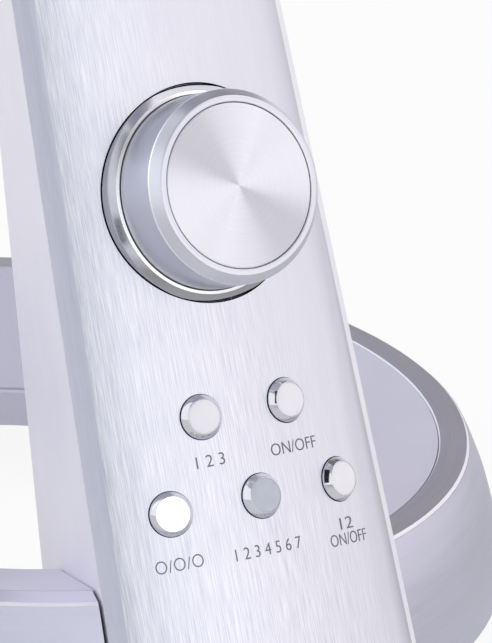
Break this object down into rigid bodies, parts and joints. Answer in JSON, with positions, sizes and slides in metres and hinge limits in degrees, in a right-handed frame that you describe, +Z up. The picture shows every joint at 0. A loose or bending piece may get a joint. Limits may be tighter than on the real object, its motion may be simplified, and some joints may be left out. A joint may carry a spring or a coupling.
{
  "type": "desk lamp",
  "caption": "Desk lamp with a lit ring base, a leaning wedge column with a dimmer knob and push buttons, and a flat light bar on a tilting, swivelling neck.",
  "frame": {"origin": "middle of the lamp's own bounding box, on the desk surface", "axes": "+Z up, the knob and buttons face -Y and the light bar reaches towards -Y, +X to the lamp's left as it faces its user"},
  "size_m": [0.2174, 0.4097, 0.4255],
  "materials": {
    "brushed_aluminium": "brushed lengthwise, clear anodised",
    "satin_aluminium": "bead blasted, clear anodised",
    "spun_aluminium": "fine circular spin finish",
    "opal_acrylic": "satin opal, lets light through",
    "grey_abs": "fine moulded grain",
    "white_abs": "smooth moulded",
    "black_abs": "smooth moulded",
    "circuit_board": "white solder mask",
    "led_package": "phosphor resin",
    "cast_ballast": "as cast, painted",
    "zinc_steel": "zinc plated",
    "satin_steel": "satin silver paint",
    "screw_steel": "nickel plated",
    "chrome_plate": "mirror polished",
    "button_lens": "translucent satin white",
    "black_rubber": "matt",
    "black_nylon": "natural moulded",
    "wire_pvc": "extruded sheath"
  },
  "bodies": {
    "stand": {"base_housing": "brushed_aluminium", "night_light_diffuser": "opal_acrylic", "inner_collar": "grey_abs", "reflector_tray": "white_abs", "led_ring_board": "circuit_board", "night_light_leds": "led_package", "ballast_ring": "cast_ballast", "base_plate": "zinc_steel", "rubber_feet": "black_rubber", "base_screws": "screw_steel", "dc_inlet": "black_abs", "front_panel": "brushed_aluminium", "column_shell": "satin_aluminium", "column_foot": "zinc_steel", "foot_screws": "screw_steel", "driver_board": "circuit_board", "driver_parts": "black_abs", "control_board": "circuit_board", "wire_loom": "wire_pvc", "encoder_body": "zinc_steel", "encoder_nut": "screw_steel", "knob_bezel": "chrome_plate", "button_carrier": "black_abs", "tact_switches": "black_abs", "column_yoke": "satin_aluminium", "yoke_screws": "screw_steel", "hinge_pin": "screw_steel", "hinge_nut": "screw_steel", "hinge_washers": "black_nylon", "hinge_caps": "satin_aluminium"},
    "knob": {"encoder_shaft": "screw_steel", "knob_body": "satin_aluminium", "knob_disc": "spun_aluminium"},
    "button_colour_temperature": {"colour_temperature_button": "chrome_plate", "colour_temperature_lens": "button_lens"},
    "button_power": {"power_button": "chrome_plate", "power_lens": "button_lens"},
    "button_rgb": {"rgb_button": "chrome_plate", "rgb_lens": "button_lens"},
    "button_night_light": {"night_light_button": "chrome_plate", "night_light_lens": "button_lens"},
    "button_night_light_power": {"night_light_power_button": "chrome_plate", "night_light_power_lens": "button_lens"},
    "neck": {"tilt_knuckle": "satin_aluminium", "swivel_washer": "black_nylon", "swivel_spindle": "screw_steel"},
    "head": {"head_housing": "satin_aluminium", "head_mount_plate": "satin_steel", "head_diffuser": "opal_acrylic", "head_led_board": "circuit_board", "head_reflector": "white_abs", "head_leds": "led_package", "head_screws": "screw_steel"}
  },
  "joints": [
    {"name": "knob_turn", "type": "hinge", "parent": "stand", "child": "knob", "pos_m": [0, 0.02599, 0.11165], "axis": [0, -0.9089, 0.4171], "continuous": true},
    {"name": "colour_temperature_press", "type": "slide", "parent": "stand", "child": "button_colour_temperature", "axis": [0.125, 0.9017, -0.4138], "range_m": [0, 0.0008], "stiffness_N_per_m": 400, "springref_m": -0.0005},
    {"name": "power_press", "type": "slide", "parent": "stand", "child": "button_power", "axis": [-0.125, 0.9017, -0.4138], "range_m": [0, 0.0008], "stiffness_N_per_m": 400, "springref_m": -0.0005},
    {"name": "rgb_press", "type": "slide", "parent": "stand", "child": "button_rgb", "axis": [0.2488, 0.8803, -0.404], "range_m": [0, 0.0008], "stiffness_N_per_m": 400, "springref_m": -0.0005},
    {"name": "night_light_press", "type": "slide", "parent": "stand", "child": "button_night_light", "axis": [0, 0.9089, -0.4171], "range_m": [0, 0.0008], "stiffness_N_per_m": 400, "springref_m": -0.0005},
    {"name": "night_light_power_press", "type": "slide", "parent": "stand", "child": "button_night_light_power", "axis": [-0.2488, 0.8803, -0.404], "range_m": [0, 0.0008], "stiffness_N_per_m": 400, "springref_m": -0.0005},
    {"name": "head_tilt", "type": "hinge", "parent": "stand", "child": "neck", "pos_m": [0, 0.16514, 0.39329], "axis": [1, 0, 0], "range_deg": [-75, 60]},
    {"name": "head_swivel", "type": "hinge", "parent": "neck", "child": "head", "pos_m": [0, 0.16514, 0.39329], "axis": [0, 0, 1], "range_deg": [-90, 90]}
  ]
}
